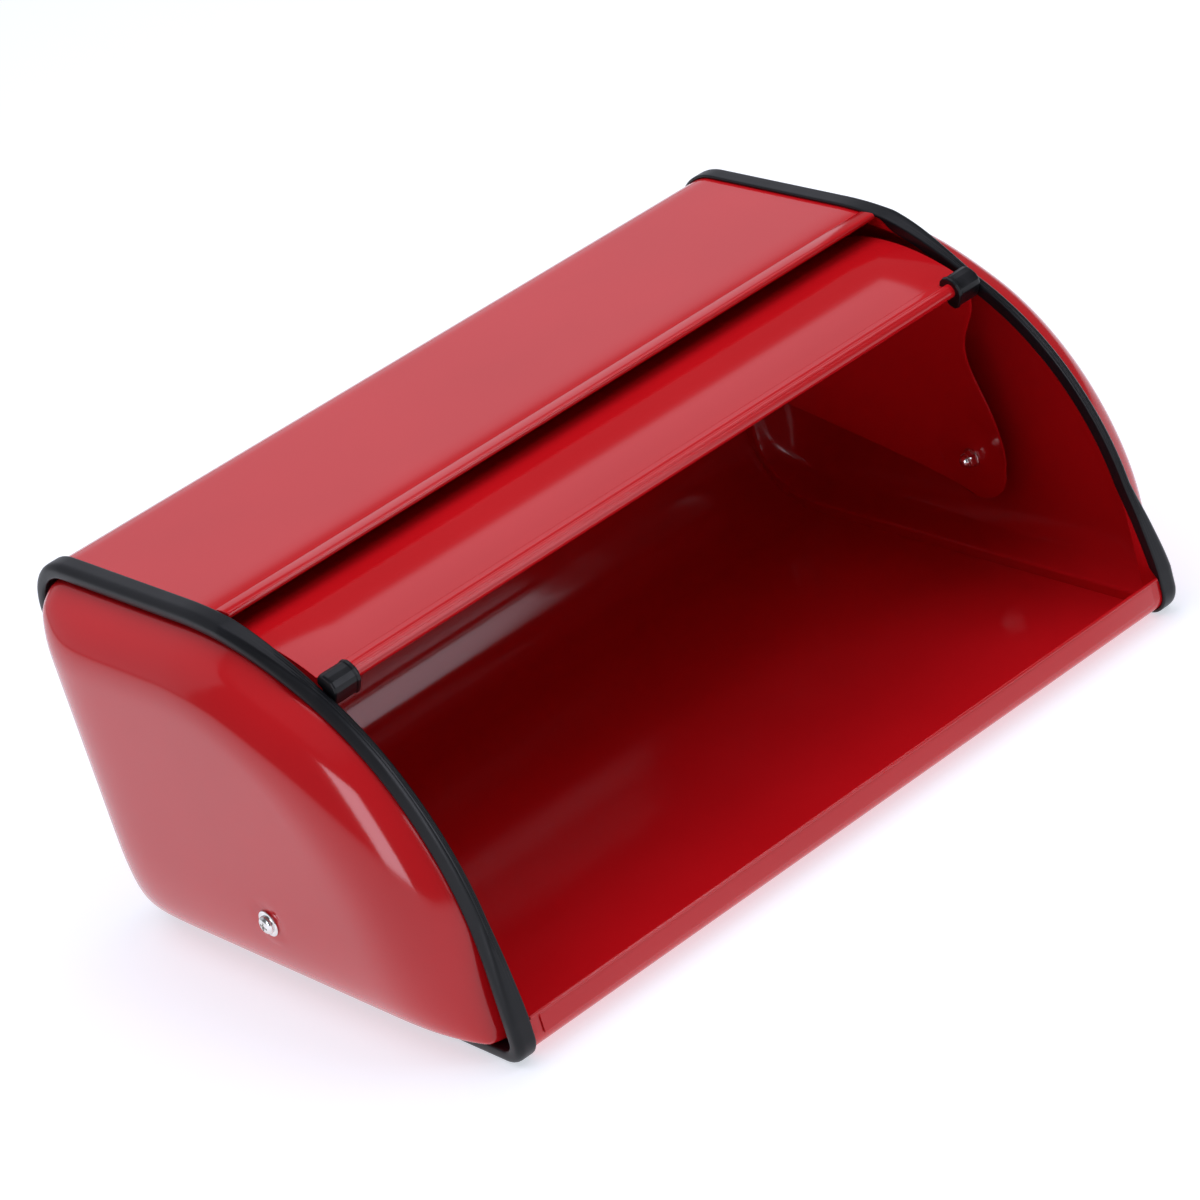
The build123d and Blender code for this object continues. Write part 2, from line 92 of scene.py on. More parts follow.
def ramp(nt, fac, stops):
    r = nt.nodes.new("ShaderNodeValToRGB")
    el = r.color_ramp.elements
    while len(el) < len(stops):
        el.new(0.5)
    for e, (p, c) in zip(el, stops):
        e.position = p
        e.color = (*c, 1.0) if len(c) == 3 else c
    nt.links.new(fac, r.inputs["Fac"])
    return r.outputs["Color"]


def spread(nt, fac, lo, hi):
    n = nt.nodes.new("ShaderNodeMapRange")
    n.inputs["To Min"].default_value = lo
    n.inputs["To Max"].default_value = hi
    nt.links.new(fac, n.inputs["Value"])
    return n.outputs["Result"]


def bump(nt, height, strength, distance):
    b = nt.nodes.new("ShaderNodeBump")
    b.inputs["Strength"].default_value = strength
    b.inputs["Distance"].default_value = distance
    nt.links.new(height, b.inputs["Height"])
    return b.outputs["Normal"]


def blend_values(nt, a, b, wa, wb):
    n = nt.nodes.new("ShaderNodeMath"); n.operation = "MULTIPLY"; n.inputs[1].default_value = wa
    nt.links.new(a, n.inputs[0])
    m = nt.nodes.new("ShaderNodeMath"); m.operation = "MULTIPLY_ADD"; m.inputs[1].default_value = wb
    nt.links.new(b, m.inputs[0]); nt.links.new(n.outputs[0], m.inputs[2])
    return m.outputs[0]


def enamel():
    """Glossy red enamel: slow tone drift, faint orange peel, a few dust nibs."""
    m, nt, b = nodes_of("red_enamel_look")
    v = coords(nt)
    tone = noise(nt, v, 11.0, 2.0)
    col = ramp(nt, tone, [(0.30, (0.605, 0.0060, 0.0100)), (0.70, (0.655, 0.0076, 0.0124))])
    nt.links.new(col, b.inputs["Base Color"])
    haze = noise(nt, v, 34.0, 4.0)
    nt.links.new(spread(nt, haze, 0.17, 0.27), b.inputs["Roughness"])
    peel = noise(nt, v, 330.0, 2.0, 0.45)
    nib = nt.nodes.new("ShaderNodeTexVoronoi")
    nib.inputs["Scale"].default_value = 95.0
    nt.links.new(v, nib.inputs["Vector"])
    dot = nt.nodes.new("ShaderNodeMapRange")
    dot.inputs["From Min"].default_value = 0.0
    dot.inputs["From Max"].default_value = 0.05
    dot.inputs["To Min"].default_value = 1.0
    dot.inputs["To Max"].default_value = 0.0
    nt.links.new(nib.outputs["Distance"], dot.inputs["Value"])
    h = blend_values(nt, peel, dot.outputs["Result"], 1.0, 0.35)
    n = bump(nt, h, 0.055, 0.0004)
    nt.links.new(n, b.inputs["Normal"])
    b.inputs["IOR"].default_value = 1.5
    b.inputs["Coat Weight"].default_value = 1.0
    b.inputs["Coat Roughness"].default_value = 0.125
    b.inputs["Coat IOR"].default_value = 1.5
    b.inputs["Specular IOR Level"].default_value = 0.0
    return m


def black_plastic(name, base, rough, grain=900.0, strength=0.10):
    """Satin black moulding: fine spark-eroded grain, slight polish drift."""
    m, nt, b = nodes_of(name)
    v = coords(nt)
    tone = noise(nt, v, 40.0, 3.0)
    lo = tuple(c * 0.82 for c in base)
    hi = tuple(c * 1.2 for c in base)
    nt.links.new(ramp(nt, tone, [(0.3, lo), (0.7, hi)]), b.inputs["Base Color"])
    r = noise(nt, v, 70.0, 3.0)
    nt.links.new(spread(nt, r, rough - 0.05, rough + 0.06), b.inputs["Roughness"])
    g = noise(nt, v, grain, 2.0, 0.6)
    nt.links.new(bump(nt, g, strength, 0.0002), b.inputs["Normal"])
    b.inputs["IOR"].default_value = 1.45
    b.inputs["Specular IOR Level"].default_value = 0.34
    return m


def bright_metal():
    """Bright plated steel: fine turning haze and a few darker patches."""
    m, nt, b = nodes_of("bright_plate_look")
    v = coords(nt)
    tone = noise(nt, v, 260.0, 3.0)
    nt.links.new(ramp(nt, tone, [(0.3, (0.70, 0.69, 0.67)), (0.7, (0.86, 0.855, 0.84))]), b.inputs["Base Color"])
    r = noise(nt, v, 700.0, 3.0)
    nt.links.new(spread(nt, r, 0.12, 0.26), b.inputs["Roughness"])
    nt.links.new(bump(nt, noise(nt, v, 1500.0, 2.0), 0.08, 0.0001), b.inputs["Normal"])
    b.inputs["Metallic"].default_value = 1.0
    return m


def floor_look():
    m, nt, b = nodes_of("floor_look")
    v = coords(nt)
    tone = noise(nt, v, 1.5, 2.0)
    nt.links.new(ramp(nt, tone, [(0.3, (0.585, 0.59, 0.60)), (0.7, (0.60, 0.605, 0.615))]), b.inputs["Base Color"])
    b.inputs["Roughness"].default_value = 0.9
    b.inputs["Specular IOR Level"].default_value = 0.0
    # a light table: the sweep glows softly, so it stays white under the box
    b.inputs["Emission Color"].default_value = (0.90, 0.93, 1.0, 1.0)
    b.inputs["Emission Strength"].default_value = 0.66
    return m


RED = enamel()
TRIM = black_plastic("black_trim_look", (0.0055, 0.0058, 0.0075), 0.36, 800.0, 0.08)
BUMPER = black_plastic("bumper_look", (0.0048, 0.0050, 0.0062), 0.31, 1100.0, 0.08)
NYLON = black_plastic("nylon_look", (0.05, 0.05, 0.052), 0.5, 900.0, 0.12)
METAL = bright_metal()


# ------------------------------------------------------------ mesh helpers
def obj_from(name, verts, faces, mat, body, nodes=(), angle=32.0, weld=0.004, recalc=True, wn=False):
    me = bpy.data.meshes.new(name)
    me.from_pydata([(x * MM, y * MM, z * MM) for x, y, z in verts], [], faces)
    bm = bmesh.new()
    bm.from_mesh(me)
    if weld:
        bmesh.ops.remove_doubles(bm, verts=bm.verts, dist=weld * MM)
    bmesh.ops.dissolve_degenerate(bm, edges=bm.edges, dist=0.0005 * MM)
    if recalc:
        bmesh.ops.recalc_face_normals(bm, faces=bm.faces)
    bm.to_mesh(me)
    bm.free()
    me.shade_smooth()
    me.set_sharp_from_angle(angle=math.radians(angle))
    me.materials.append(mat)
    ob = bpy.data.objects.new(name, me)
    bpy.context.scene.collection.objects.link(ob)
    if wn:
        w = ob.modifiers.new("weighted", "WEIGHTED_NORMAL")
        w.keep_sharp = True
        w.weight = 60
    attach(ob, body)
    if nodes:
        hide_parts(*nodes)
    return ob


def grid_faces(nu, nv, close_u=False, close_v=False, base=0):
    out = []
    for i in range(nu if close_u else nu - 1):
        for j in range(nv if close_v else nv - 1):
            a = base + i * nv + j
            b = base + ((i + 1) % nu) * nv + j
            c = base + ((i + 1) % nu) * nv + (j + 1) % nv
            d = base + i * nv + (j + 1) % nv
            out.append((a, b, c, d))
    return out


def flip(faces):
    return [tuple(reversed(f)) for f in faces]


def mirrored(verts):
    return [(-x, y, z) for x, y, z in verts]


def extrude(section, stations):
    """Closed section of (y, z) swept along x. Each station is (x, shrink): the
    section is pulled in by shrink at the ends, for a small rounded arris."""
    sec = np.array(section, float)
    n = len(sec)
    t = np.roll(sec, -1, 0) - np.roll(sec, 1, 0)
    t /= np.linalg.norm(t, axis=1)[:, None] + 1e-12
    nrm = np.stack([t[:, 1], -t[:, 0]], 1)
    area = 0.5 * np.sum(sec[:, 0] * np.roll(sec[:, 1], -1) - np.roll(sec[:, 0], -1) * sec[:, 1])
    if area < 0:
        nrm = -nrm
    verts, faces = [], []
    for x, sh in stations:
        p = sec - nrm * sh
        verts += [(x, a, b) for a, b in p]
    faces += grid_faces(len(stations), n, close_v=True)
    faces.append(tuple(range(n)))
    faces.append(tuple(reversed(range((len(stations) - 1) * n, len(stations) * n))))
    return verts, faces


def soft_ends(x0, x1, r, mid=6):
    a = [(x0, r), (x0 + r * 0.3, r * 0.3), (x0 + r, 0.0)]
    m = [(x0 + (x1 - x0) * k / mid, 0.0) for k in range(1, mid)]
    b = [(x1 - r, 0.0), (x1 - r * 0.3, r * 0.3), (x1, r)]
    return a + m + b


def lathe(profile, steps=64, yc=PY, zc=PZ):
    """Profile of (x, r) turned about the lid axis."""
    verts, faces = [], []
    for k in range(steps):
        a = 2 * math.pi * k / steps
        verts += [(x, yc + r * math.cos(a), zc + r * math.sin(a)) for x, r in profile]
    faces = grid_faces(steps, len(profile), close_u=True)
    return verts, faces


# ------------------------------------------------------------ rim outline
def rim_samples(step=1.6, fine=0.8):
    """Outer rim as (y, z, ny, nz), once round from the front toe."""
    out = []

    def arc(cy, cz, r, a0, a1, st):
        n = max(4, int(abs(math.radians(a1 - a0)) * r / st))
        for k in range(n):
            a = math.radians(a0 + (a1 - a0) * k / n)
            out.append((cy + r * math.cos(a), cz + r * math.sin(a), math.cos(a), math.sin(a)))

    def line(y0, z0, y1, z1, ny, nz, st):
        n = max(2, int(math.hypot(y1 - y0, z1 - z0) / st))
        for k in range(n):
            out.append((y0 + (y1 - y0) * k / n, z0 + (z1 - z0) * k / n, ny, nz))

    ang_e = math.degrees(math.atan2(PZ - C2Z, PY - C2Y))
    arc(FRONT_Y + TOE_R, TOE_R, TOE_R, 180, 270, fine)
    line(FRONT_Y + TOE_R, 0, BACK_Y - BACK_BOTTOM_R, 0, 0, -1, step * 2)
    arc(BACK_Y - BACK_BOTTOM_R, BACK_BOTTOM_R, BACK_BOTTOM_R, -90, 0, step)
    line(BACK_Y, BACK_BOTTOM_R, BACK_Y, HEIGHT - BACK_TOP_R, 1, 0, step * 2)
    arc(BACK_Y - BACK_TOP_R, HEIGHT - BACK_TOP_R, BACK_TOP_R, 0, 90, step)
    line(BACK_Y - BACK_TOP_R, HEIGHT, C2Y, HEIGHT, 0, 1, step * 2)
    arc(C2Y, C2Z, SHOULDER_R, 90, ang_e, fine * 1.5)
    arc(PY, PZ, FRONT_R, ang_e, 180, fine * 1.5)
    line(FRONT_Y, PZ, FRONT_Y, TOE_R, -1, 0, fine * 1.5)
    return np.array(out)


RIM = rim_samples()
RIM_PHI = np.degrees(np.arctan2(-(RIM[:, 0] - PY), RIM[:, 1] - PZ))   # 0 is up, + to the front


def inset(d):
    return RIM[:, :2] - RIM[:, 2:] * d


def smooth(a, b, x):
    t = np.clip((x - a) / (b - a), 0, 1)
    return t * t * (3 - 2 * t)


# mouth factor: 1 along the open mouth, 0 elsewhere
hem_phi = math.degrees(math.atan2(-(HEM_Y - PY), 126.0))
front_side = (RIM[:, 0] < PY)
MOUTH = np.where(front_side, smooth(hem_phi + 0.0, hem_phi + 5.0, RIM_PHI) * smooth(16.0, 24.0, RIM[:, 1]), 0.0)


def ease(t):
    t = np.clip(t, 0, 1)
    return 0.6 * t + 0.4 * t * t * (3 - 2 * t)


# 1 where the trim has dropped to its narrow form, half way along the mouth
NARROW = np.where(front_side, ease((RIM_PHI - 0.3) / 25.7) * ease((RIM[:, 1] - 20.8) / 42.0), 0.0)


# ------------------------------------------------------------ edge trims
SEC_PLAIN = [(176.25, 1.42), (176.1, 1.42), (175.9, 1.40), (175.7, 1.34), (175.56, 1.2), (175.5, 0.95), (175.5, 0.72),
             (175.56, 0.42), (175.72, 0.18), (175.98, 0.05), (176.3, 0.0), (176.7, 0.0), (177.1, 0.0), (177.5, 0.0),
             (177.9, 0.0), (178.4, 0.0), (179.0, 0.0), (179.8, 0.0), (180.6, 0.0), (181.3, 0.03), (182.3, 0.2),
             (183.1, 0.6), (183.75, 1.15), (184.2, 1.85), (184.43, 2.6), (184.5, 3.4), (184.5, 4.3), (184.46, 5.1),
             (184.3, 5.62), (183.98, 5.98), (183.5, 6.2), (182.5, 6.28), (180.0, 6.28), (177.6, 6.2), (177.2, 5.9),
             (177.2, 1.42), (176.3, 1.42)]
LEG = {0: (176.2, 4.9), 1: (175.9, 5.0), 2: (175.7, 5.0), 3: (175.55, 4.9), 4: (175.5, 4.6), 5: (175.5, 4.0), 36: (176.2, 1.42)}
SEC_LEG = [LEG.get(i, q) for i, q in enumerate(SEC_PLAIN)]
SEC_NARROW = [(176.2, 12.3), (175.9, 12.42), (175.5, 12.42), (175.2, 12.3), (175.05, 12.0), (175.0, 11.5), (175.0, 7.6),
              (175.05, 7.0), (175.25, 6.5), (175.55, 6.2), (175.8, 6.08), (176.05, 6.03), (176.25, 6.28), (176.45, 6.03),
              (176.8, 6.0), (177.0, 6.26), (177.2, 6.0), (177.6, 6.02), (177.85, 6.30), (178.05, 6.2), (178.5, 6.5),
              (179.0, 7.05), (179.5, 7.9), (180.0, 8.9), (180.45, 9.8), (180.8, 10.6), (181.0, 11.2), (181.03, 11.6),
              (180.9, 11.95), (180.6, 12.15), (180.2, 12.22), (179.5, 12.25), (178.5, 12.25), (177.5, 12.2), (177.2, 12.0),
              (177.2, 7.4), (176.2, 7.4)]


def trim_mesh(side):
    a, leg, b = np.array(SEC_PLAIN), np.array(SEC_LEG), np.array(SEC_NARROW)
    k = len(a)
    verts = []
    for i in range(len(RIM)):
        sec = a + (leg - a) * MOUTH[i]
        sec = sec + (b - leg) * NARROW[i]
        y, z, ny, nz = RIM[i]
        for x, d in sec:
            verts.append((side * x, y - ny * d, z - nz * d))
    faces = grid_faces(len(RIM), k, close_u=True, close_v=True)
    return verts, faces


for side, nm in ((1, "right"), (-1, "left")):
    v, f = trim_mesh(side)
    obj_from(f"{nm}_edge_trim_moulding", v, f, TRIM, "box", [f"{nm}_edge_trim"], angle=38, weld=0)


# ------------------------------------------------------------ end caps
DOME = dict(H=22.0, lf=59.95, lt=32.42, lb=67.07, lo=53.37, nf=3.076, nt=2.966, nb=4.496, no=3.638, k=0.705, lg=9.606, ng=2.66)
ANG_E = math.degrees(math.atan2(PZ - C2Z, PY - C2Y))


def side_gaps(y, z, w=6.5):
    """Distance inside the dome's foot from the front and top run, the back and the bottom."""
    a1 = np.degrees(np.arctan2(z - PZ, y - PY))
    d = HEIGHT - z
    d = np.where((y < C2Y) & (z > C2Z), SHOULDER_R - np.hypot(y - C2Y, z - C2Z), d)
    d = np.where((a1 > ANG_E) & (z >= PZ), FRONT_R - np.hypot(y - PY, z - PZ), d)
    d = np.where(z < PZ, y - FRONT_Y, d)
    return d - w, BACK_Y - y - w, z - w


def lowered(y, z):
    """1 where the dome stands off the front edge, behind the mouth; 0 along the top and back."""
    return smooth(2.0, 24.0, np.degrees(np.arctan2(-(y - PY), z - PZ)))


def front_gap(y, z, d1):
    """Front distance inside the foot; the foot lies further in along the mouth."""
    d = d1 + 6.5
    far = np.maximum(d - 12.5, -6.0)
    w = d - 4.6 * np.exp(-far / 3.0) - 1.4 * np.exp(-(np.maximum(far, 0) / 25.0) ** 2)
    w = np.where(d < 12.5, d - MOUTH_DROP, w)
    return (d + (w - d) * lowered(y, z)) - 6.5


def bottom_gap(d3):
    """Distance inside the foot at the bottom, where the dome bellies out low down."""
    v = np.maximum(d3, 0.0)
    return d3 + 7.2 * (1 - np.exp(-v / 1.9)) * np.exp(-(np.maximum(v - 8.5, 0) / 28.0) ** 2)


def foot_gap(y, z):
    def corner(cy, cz, rr, sy, sz):
        yy, zz = (y - cy) * sy, (z - cz) * sz
        return np.where((yy > 0) & (zz > 0), rr - np.hypot(yy, zz), 1e3) - 6.5

    a, b, c = side_gaps(y, z)
    a = front_gap(y, z, a)
    return np.minimum.reduce([a, b, c, corner(BACK_Y - BACK_TOP_R, HEIGHT - BACK_TOP_R, BACK_TOP_R, 1, 1),
                              corner(BACK_Y - BACK_BOTTOM_R, BACK_BOTTOM_R, BACK_BOTTOM_R, 1, -1),
                              corner(FRONT_Y + 18.5, 12.5, 12.5, -1, -1)])


def dome_x(y, z):
    p = DOME
    d1, d2, d3 = side_gaps(y, z)
    d1 = front_gap(y, z, d1)
    d3 = bottom_gap(d3)

    def prof(v, l, n):
        return 1 - (1 - np.clip(v / l, 1e-4, 1)) ** n

    th = np.degrees(np.arctan2(z - PZ, y - PY))
    t = np.clip((th - 165) / (75 - 165), 0, 1)
    wt = t * t * (3 - 2 * t) * (z > PZ)
    a = np.array([prof(d1, p["lf"] + (p["lt"] - p["lf"]) * wt, p["nf"] + (p["nt"] - p["nf"]) * wt),
                  prof(d2, p["lb"], p["nb"]), prof(d3, p["lo"], p["no"])])
    s = ((a ** -p["k"]) - 1).sum(0) + 1
    v = foot_gap(y, z)
    low = smooth(60.0, 20.0, z)
    g = prof(v + (bottom_gap(v) - v) * low, p["lg"], p["ng"])
    return 181.6 + p["H"] * s ** (-1 / p["k"]) * g - (181.6 - FLANGE_OUT) * np.exp(-(np.maximum(v, 0) / 0.9) ** 2)


def cap_mesh(side):
    n = len(RIM)
    rings = []
    low = MOUTH_DROP * smooth(2.0, 24.0, RIM_PHI) * (RIM[:, 0] < PY)
    out = RIM[:, :2] - RIM[:, 2:] * (1.85 + MOUTH_DROP * NARROW)[:, None]
    edge = np.column_stack([RIM[:, 0] - RIM[:, 2] * (6.5 + low),
                            RIM[:, 1] - RIM[:, 3] * (6.5 + low * (RIM[:, 1] > PZ))])
    for t in (0.0, 0.35, 0.7, 0.94):
        q = out + (edge - out) * t
        rings.append(np.column_stack([np.full(n, FLANGE_OUT), q]))
    ts = np.concatenate([[0.0, 0.002, 0.006, 0.012, 0.02, 0.03], np.linspace(0.045, 0.93, 62)])
    pad_x = float(dome_x(np.array([PY]), np.array([PZ]))[0])
    pad_x = DOME_TOP
    scale = (DOME_TOP - FLANGE_OUT)
    for t in ts:
        y = edge[:, 0] + (PY - edge[:, 0]) * t
        z = edge[:, 1] + (PZ - edge[:, 1]) * t
        x = dome_x(y, z)
        r = np.hypot(y - PY, z - PZ)
        w = 1 - smooth(5.9, 12.0, r)
        x = x * (1 - w) + pad_x * w
        rings.append(np.column_stack([x, y, z]))
    # centre hole for the screw
    last = rings[-1]
    ang = np.arctan2(last[:, 2] - PZ, last[:, 1] - PY)
    for rr in (3.4, 2.15):
        rings.append(np.column_stack([np.full(n, pad_x), PY + rr * np.cos(ang), PZ + rr * np.sin(ang)]))
    outer = np.array(rings)                      # rings, n, 3
    # sheet thickness, from the local normal
    du = np.roll(outer, -1, 1) - np.roll(outer, 1, 1)
    dv = np.gradient(outer, axis=0)
    nr = np.cross(dv, du)
    nr /= np.linalg.norm(nr, axis=2)[..., None] + 1e-12
    nr *= np.sign(nr[..., :1] + 1e-9)
    inner = outer - nr * 0.8
    m = outer.shape[0]
    verts = [tuple(p) for ring in outer for p in ring] + [tuple(p) for ring in inner for p in ring]
    faces = []
    for i in range(m - 1):
        for j in range(n):
            a, b = i * n + j, i * n + (j + 1) % n
            c, d = (i + 1) * n + (j + 1) % n, (i + 1) * n + j
            faces.append((a, b, c, d))
            faces.append((m * n + d, m * n + c, m * n + b, m * n + a))
    for j in range(n):
        k = (j + 1) % n
        faces.append((m * n + j, m * n + k, k, j))
        a, b = (m - 1) * n + j, (m - 1) * n + k
        faces.append((a, b, m * n + b, m * n + a))
    if side < 0:
        verts = mirrored(verts)
    return verts, faces


for side, nm in ((1, "right"), (-1, "left")):
    v, f = cap_mesh(side)
    obj_from(f"{nm}_end_cap_pressing", v, f, RED, "box", [f"{nm}_end_cap"], angle=50, weld=0.0)


# ------------------------------------------------------------ body sheet
def shell_section():
    """Closed section of the body sheet from the lip, under, up the back and over to the hem root."""
    ang = np.degrees(np.arctan2(RIM[:, 1] - PZ, RIM[:, 0] - PY))
    start = int(np.argmin(np.hypot(RIM[:, 0] - FRONT_Y, RIM[:, 1] - (LIP_TOP - 0.9))))
    order = list(range(start, len(RIM))) + list(range(0, len(RIM)))
    hem_root_y = HEM_Y + 1.6
    outer, inner = [], []
    stop = False
    for q, i in enumerate(order):
        y, z, ny, nz = RIM[i]
        if q > 60 and y < hem_root_y and z > 120:
            break
        outer.append((y - ny * BODY_INSET, z - nz * BODY_INSET))
        inner.append((y - ny * (BODY_INSET + SHEET), z - nz * (BODY_INSET + SHEET)))
    return outer + inner[::-1]


sec = shell_section()
v, f = extrude(sec, [(-176.2, 0)] + [(-176.2 + 352.4 * k / 12, 0) for k in range(1, 12)] + [(176.2, 0)])
obj_from("body_sheet", v, f, RED, "box", ["body_shell"], angle=30, weld=0.002)


def top_z(y, d):
    if y >= C2Y:
        return HEIGHT - d
    return C2Z + math.sqrt((SHOULDER_R - d) ** 2 - (y - C2Y) ** 2)


def top_n(y):
    if y >= C2Y:
        return (0.0, 1.0)
    a = math.asin((y - C2Y) / SHOULDER_R)
    return (math.sin(a), math.cos(a))


def hem_section():
    """Folded strip on the top sheet, with its rolled front edge."""
    pts = []
    base_y = HEM_Y + 1.6

    def at(y, d):
        n = top_n(y)
        zt = top_z(y, 0.0)
        return (y - n[0] * d, zt - n[1] * d)

    # underside of the strip, back to front
    back = HEM_Y + HEM_W
    for k in range(9):
        y = back - (back - base_y) * k / 8
        pts.append(at(y, BODY_INSET - 0.06))
    # down to the sheet's underside, then round the nose
    cy, cz = at(base_y, 0.86)
    for k in range(25):
        a = math.radians(250 - 150 * k / 24)
        pts.append((cy + 1.46 * math.cos(a), cz + 1.46 * math.sin(a)))
    # slightly crowned top face, front to back, then the thin rounded free edge
    for k in range(1, 12):
        t = k / 11
        y = base_y + (back - 0.3 - base_y) * t
        pts.append(at(y, -0.58 + 1.15 * t ** 1.6))
    pts.append(at(back - 0.05, 0.75))
    pts.append(at(back, 1.05))
    return pts


hs = hem_section()
v, f = extrude(hs[::-1], soft_ends(-HEM_END, HEM_END, 0.5, 8))
obj_from("top_hem", v, f, RED, "box", [], angle=42, weld=0.002)


def lip_section():
    """Front strip: rolled top bead, flat band and turned-in lower edge."""
    y_out = FRONT_Y + BODY_INSET          # outer face of the sheet
    top = LIP_TOP - 0.85
    pts = []
    # bead
    for k in range(19):
        a = math.radians(-35 + 235 * k / 18)
        pts.append((y_out - 0.05 + 0.86 * math.cos(a), top + 0.86 * math.sin(a)))
    # groove under the bead, then the band down to its lower edge
    pts.append((y_out - 0.72, top - 0.55))
    for k in range(8):
        t = k / 7
        pts.append((y_out - 0.85 - 0.12 * math.sin(math.pi * t), top - 0.9 - 8.0 * t))
    pts.append((y_out - 0.70, top - 9.25))
    pts.append((y_out - 0.40, top - 9.45))
    pts.append((y_out - 0.08, top - 9.4))
    pts.append((y_out - 0.05, top - 1.2))
    return pts


ls = lip_section()
v, f = extrude(ls, soft_ends(-LIP_END, LIP_END, 0.4, 8))
obj_from("lip_strip", v, f, RED, "box", [], angle=42, weld=0.002)
# the bead alone runs on to the trims
bead = [(FRONT_Y + BODY_INSET - 0.05 + 0.84 * math.cos(2 * math.pi * k / 20), LIP_TOP - 0.85 + 0.84 * math.sin(2 * math.pi * k / 20)) for k in range(20)]
v, f = extrude(bead, soft_ends(-HEM_END + 0.2, HEM_END - 0.2, 0.4, 8))
obj_from("lip_bead", v, f, RED, "box", [], angle=42, weld=0.002)


# ------------------------------------------------------------ lid sheet
def pol(r, deg):
    a = math.radians(deg)
    return (PY - r * math.sin(a), PZ + r * math.cos(a))


def lid_section():
    """Curved sheet, a folded strip laid on its outer face, and the rolled front bar."""
    out = []
    fold0 = OPEN_ANGLE - 3.9          # free edge of the folded strip
    n = 110
    for k in range(n + 1):
        out.append(pol(LID_R, TAIL_ANGLE + (fold0 - TAIL_ANGLE) * k / n))
    out.append(pol(LID_R + 0.06, fold0 + 0.02))
    out.append(pol(LID_R + 0.30, fold0 + 0.05))
    out.append(pol(LID_R + 0.42, fold0 + 0.16))
    for k in range(1, 11):
        t = k / 10
        out.append(pol(LID_R + 0.42 + 1.05 * t ** 2.4, fold0 + 0.16 + 2.35 * t))
    # shallow groove before the roll
    out.append(pol(LID_R + 1.36, OPEN_ANGLE - 1.26))
    out.append(pol(LID_R + 1.62, OPEN_ANGLE - 1.12))
    cy, cz = pol(BAR_C, OPEN_ANGLE)
    for k in range(46):
        a = math.radians(OPEN_ANGLE + 90 - 50 + 292 * k / 45)
        deg = -50 + 292 * k / 45
        rr = 3.0 - 0.16 * math.exp(-((deg - 22) / 5.0) ** 2) + 0.05 * math.exp(-((deg - 60) / 20.0) ** 2)
        out.append((cy + rr * math.cos(a), cz + rr * math.sin(a)))
    inner = []
    for k in range(n + 1):
        inner.append(pol(LID_R - SHEET, TAIL_ANGLE + (OPEN_ANGLE - 1.75 - TAIL_ANGLE) * k / n))
    return out + inner[::-1]


v, f = extrude(lid_section(), soft_ends(-LID_HALF, LID_HALF, 0.3, 14))
obj_from("lid_sheet", v, f, RED, "lid", ["lid_panel"], angle=34, weld=0.002)


# ------------------------------------------------------------ lid wings
S_R = [114.45, 98.4, 86.2, 75.7, 67.7, 60.25, 54.3, 47.8, 41.8, 37.0, 30.0, 24.6, 20.0]
S_A = [26.5, 27.0, 25.2, 23.0, 22.2, 22.7, 24.7, 28.4, 34.4, 40.3, 52.0, 66.0, 97.0]


def wing_mesh(side):
    r_list = np.concatenate([np.linspace(BOSS_R, WING_R, 60)])
    sr, sa = np.array(S_R[::-1]), np.array(S_A[::-1])
    # smooth interpolation of the S edge
    from_r = np.interp(r_list, sr, sa)
    for _ in range(6):
        from_r[1:-1] = 0.25 * from_r[:-2] + 0.5 * from_r[1:-1] + 0.25 * from_r[2:]
    tail0 = np.array(pol(BOSS_R, -170.0)); tail1 = np.array(pol(WING_R, TAIL_ANGLE + 1.0))
    n1, n2 = 72, 26
    verts, index = [], {}

    def cone(r):
        t = (r - 18.0) / (WING_R - 18.0)
        x = BOSS_X + (172.15 - BOSS_X) * t
        if r < 24.0:
            # soft knee into the flat boss
            s = smooth(12.0, 24.0, r)
            x = BOSS_X * (1 - s) + x * s if r > 18 else BOSS_X * (1 - s) + BOSS_X * s
        return x

    def tail_angle(r):
        lo, hi = 0.0, 1.0
        for _ in range(40):
            m = (lo + hi) / 2
            q = tail0 + (tail1 - tail0) * m
            if math.hypot(q[0] - PY, q[1] - PZ) < r:
                lo = m
            else:
                hi = m
        q = tail0 + (tail1 - tail0) * lo
        a = math.degrees(math.atan2(-(q[0] - PY), q[1] - PZ))
        return a if a < 0 else a - 360

    rows = []
    for r, af in zip(r_list, from_r):
        at = tail_angle(r) if r > BOSS_R + 1e-6 else -170.0
        rows.append([(cone(r), *pol(r, at + (af - at) * k / n1)) for k in range(n1 + 1)])
    faces = []
    for row in rows:
        verts += row
    faces += grid_faces(len(rows), n1 + 1)
    # boss disc with its screw hole
    angs = [-170.0 + 267.0 * k / n1 for k in range(n1 + 1)] + [97.0 + 93.0 * k / n2 for k in range(1, n2)]
    base = len(verts)
    rr = [20.0, 16.0, 12.0, 8.0, 5.0, 3.2, 2.08]
    for r in rr:
        verts += [(cone(r), *pol(r, a)) for a in angs]
    faces += grid_faces(len(rr), len(angs), close_v=True, base=base)
    # tab bent in under the lid sheet
    a0, a1 = TAIL_ANGLE + 1.0, 26.0
    base = len(verts)
    xs = [172.15, 172.0, 171.6, 170.9, 168.5, 165.7]
    rs = [WING_R, WING_R + 0.02, WING_R + 0.03, WING_R + 0.03, WING_R + 0.03, WING_R + 0.03]
    for x, r in zip(xs, rs):
        verts += [(x, *pol(r, a0 + (a1 - a0) * k / n1)) for k in range(n1 + 1)]
    faces += grid_faces(len(xs), n1 + 1, base=base)
    if side < 0:
        verts = mirrored(verts)
    return verts, faces


